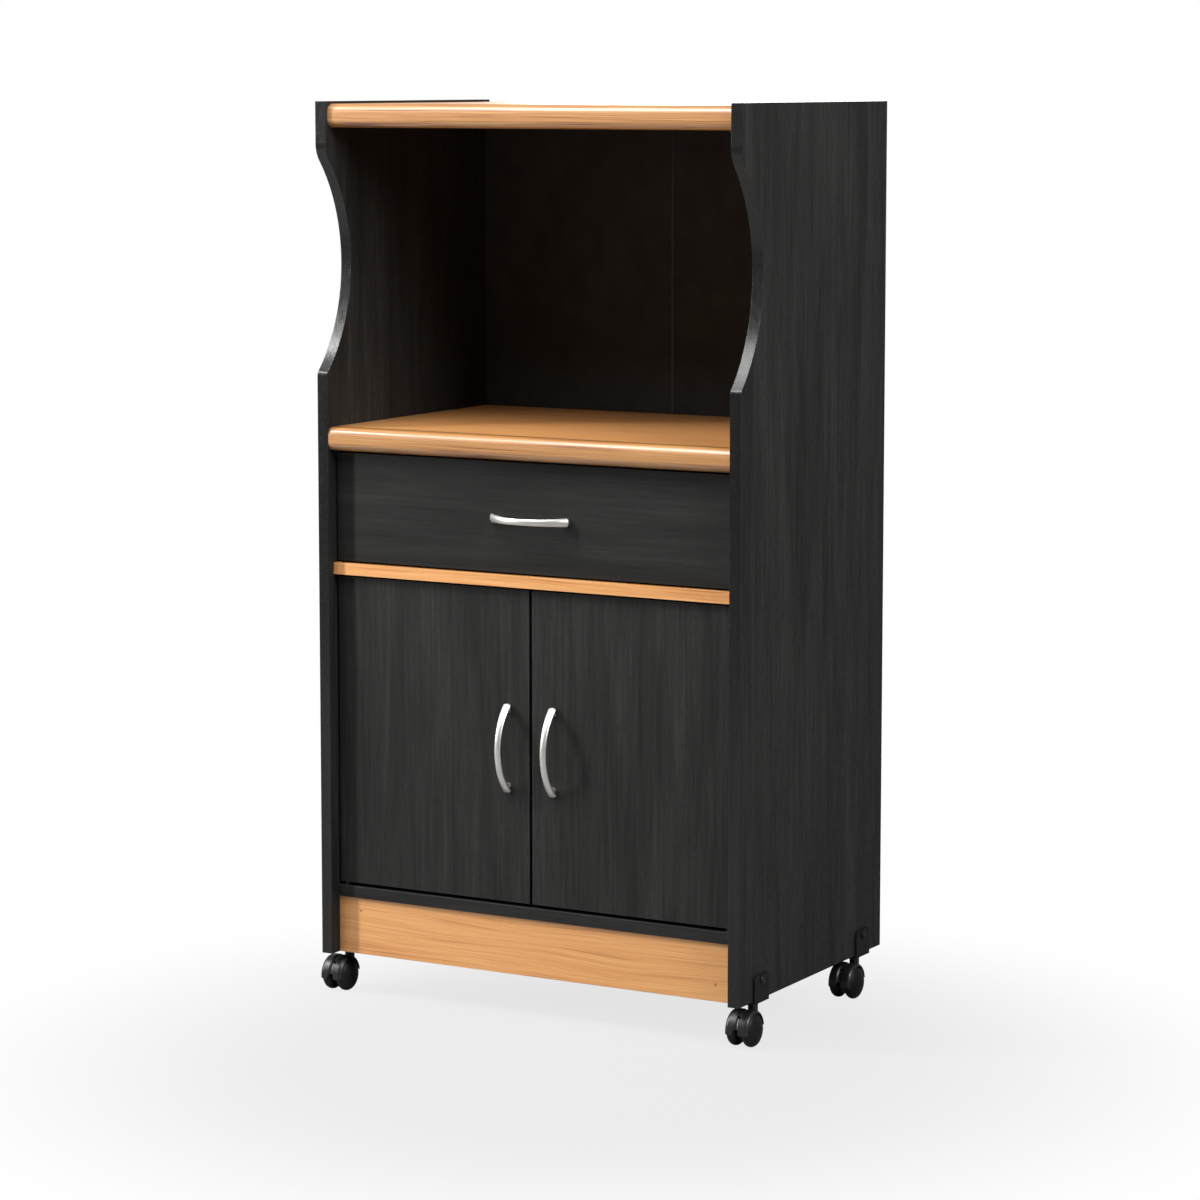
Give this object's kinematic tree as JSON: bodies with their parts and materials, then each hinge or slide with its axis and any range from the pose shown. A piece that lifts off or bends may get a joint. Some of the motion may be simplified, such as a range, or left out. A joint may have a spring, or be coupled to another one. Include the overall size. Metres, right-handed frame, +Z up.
{
  "type": "microwave cart",
  "caption": "Mobile microwave cart: open bay over a beech worktop, a drawer on roller runners, a two-door cupboard and swivelling twin-wheel casters.",
  "frame": {"origin": "on the floor, below the middle of the whole outline", "axes": "+Z up, front faces -Y, +X is the right-hand side seen from the front"},
  "size_m": [0.6378, 0.411, 1.154],
  "materials": {
    "black_laminate": "black embossed woodgrain laminate, low sheen",
    "beech_laminate": "beech woodgrain laminate, satin",
    "dark_hardboard": "black faced hardboard, matt",
    "black_plastic": "moulded, fine grain",
    "wheel_plastic": "moulded, semi gloss",
    "black_steel": "black powder coat",
    "satin_chrome": "satin",
    "zinc_plated_steel": "zinc plated",
    "coated_steel": "epoxy coated",
    "white_nylon": "moulded",
    "dowel_wood": "plain turned beech"
  },
  "bodies": {
    "root": {"left_side_panel": "black_laminate", "right_side_panel": "black_laminate", "top_board": "beech_laminate", "top_nosing": "beech_laminate", "worktop_board": "beech_laminate", "worktop_nosing": "beech_laminate", "divider_board": "beech_laminate", "bottom_board": "black_laminate", "front_plinth": "beech_laminate", "rear_rail": "black_laminate", "back_panels": "dark_hardboard", "back_joint_strip": "black_plastic", "cupboard_shelf": "black_laminate", "shelf_pins": "zinc_plated_steel", "cam_fasteners": "zinc_plated_steel", "dowels": "dowel_wood", "fixed_runners": "coated_steel", "fixed_runner_rollers": "white_nylon", "fixed_runner_screws": "zinc_plated_steel", "pivot_bushes": "black_plastic", "magnetic_catch": "black_plastic", "caster_brackets": "black_steel", "bracket_bolts": "black_steel"},
    "drawer": {"drawer_front": "black_laminate", "drawer_left_side": "black_laminate", "drawer_right_side": "black_laminate", "drawer_back": "black_laminate", "drawer_bottom": "dark_hardboard", "drawer_handle": "satin_chrome", "drawer_handle_screws": "zinc_plated_steel", "drawer_runners": "coated_steel", "drawer_runner_rollers": "white_nylon", "drawer_box_screws": "zinc_plated_steel", "drawer_front_cams": "zinc_plated_steel"},
    "left_door": {"left_door": "black_laminate", "left_door_handle": "satin_chrome", "left_door_handle_screws": "zinc_plated_steel", "left_door_pivots": "black_steel", "left_door_strike": "zinc_plated_steel"},
    "right_door": {"right_door": "black_laminate", "right_door_handle": "satin_chrome", "right_door_handle_screws": "zinc_plated_steel", "right_door_pivots": "black_steel", "right_door_strike": "zinc_plated_steel"},
    "front_left_caster": {"front_left_caster_body": "black_plastic", "front_left_caster_pins": "zinc_plated_steel"},
    "front_left_outer_wheel": {"front_left_outer_wheel": "wheel_plastic"},
    "front_left_inner_wheel": {"front_left_inner_wheel": "wheel_plastic"},
    "front_right_caster": {"front_right_caster_body": "black_plastic", "front_right_caster_pins": "zinc_plated_steel"},
    "front_right_outer_wheel": {"front_right_outer_wheel": "wheel_plastic"},
    "front_right_inner_wheel": {"front_right_inner_wheel": "wheel_plastic"},
    "rear_left_caster": {"rear_left_caster_body": "black_plastic", "rear_left_caster_pins": "zinc_plated_steel"},
    "rear_left_outer_wheel": {"rear_left_outer_wheel": "wheel_plastic"},
    "rear_left_inner_wheel": {"rear_left_inner_wheel": "wheel_plastic"},
    "rear_right_caster": {"rear_right_caster_body": "black_plastic", "rear_right_caster_pins": "zinc_plated_steel"},
    "rear_right_outer_wheel": {"rear_right_outer_wheel": "wheel_plastic"},
    "rear_right_inner_wheel": {"rear_right_inner_wheel": "wheel_plastic"}
  },
  "joints": [
    {"name": "drawer_slide", "type": "slide", "parent": "root", "child": "drawer", "axis": [0, -1, 0], "range_m": [0, 0.26]},
    {"name": "left_door_hinge", "type": "hinge", "parent": "root", "child": "left_door", "pos_m": [-0.28, -0.1705, 0.3465], "axis": [0, 0, -1], "range_deg": [0, 95]},
    {"name": "right_door_hinge", "type": "hinge", "parent": "root", "child": "right_door", "pos_m": [0.28, -0.1705, 0.3465], "axis": [0, 0, 1], "range_deg": [0, 95]},
    {"name": "front_left_caster_swivel", "type": "hinge", "parent": "root", "child": "front_left_caster", "pos_m": [-0.2975, -0.1415, 0.046], "axis": [0, 0, 1], "continuous": true},
    {"name": "front_left_outer_wheel_spin", "type": "hinge", "parent": "front_left_caster", "child": "front_left_outer_wheel", "pos_m": [-0.2975, -0.1635, 0.021], "axis": [1, 0, 0], "continuous": true},
    {"name": "front_left_inner_wheel_spin", "type": "hinge", "parent": "front_left_caster", "child": "front_left_inner_wheel", "pos_m": [-0.2975, -0.1635, 0.021], "axis": [1, 0, 0], "continuous": true},
    {"name": "front_right_caster_swivel", "type": "hinge", "parent": "root", "child": "front_right_caster", "pos_m": [0.2975, -0.1415, 0.046], "axis": [0, 0, 1], "continuous": true},
    {"name": "front_right_outer_wheel_spin", "type": "hinge", "parent": "front_right_caster", "child": "front_right_outer_wheel", "pos_m": [0.2975, -0.1635, 0.021], "axis": [1, 0, 0], "continuous": true},
    {"name": "front_right_inner_wheel_spin", "type": "hinge", "parent": "front_right_caster", "child": "front_right_inner_wheel", "pos_m": [0.2975, -0.1635, 0.021], "axis": [1, 0, 0], "continuous": true},
    {"name": "rear_left_caster_swivel", "type": "hinge", "parent": "root", "child": "rear_left_caster", "pos_m": [-0.2975, 0.1445, 0.046], "axis": [0, 0, 1], "continuous": true},
    {"name": "rear_left_outer_wheel_spin", "type": "hinge", "parent": "rear_left_caster", "child": "rear_left_outer_wheel", "pos_m": [-0.2975, 0.1225, 0.021], "axis": [1, 0, 0], "continuous": true},
    {"name": "rear_left_inner_wheel_spin", "type": "hinge", "parent": "rear_left_caster", "child": "rear_left_inner_wheel", "pos_m": [-0.2975, 0.1225, 0.021], "axis": [1, 0, 0], "continuous": true},
    {"name": "rear_right_caster_swivel", "type": "hinge", "parent": "root", "child": "rear_right_caster", "pos_m": [0.2975, 0.1445, 0.046], "axis": [0, 0, 1], "continuous": true},
    {"name": "rear_right_outer_wheel_spin", "type": "hinge", "parent": "rear_right_caster", "child": "rear_right_outer_wheel", "pos_m": [0.2975, 0.1225, 0.021], "axis": [1, 0, 0], "continuous": true},
    {"name": "rear_right_inner_wheel_spin", "type": "hinge", "parent": "rear_right_caster", "child": "rear_right_inner_wheel", "pos_m": [0.2975, 0.1225, 0.021], "axis": [1, 0, 0], "continuous": true}
  ]
}
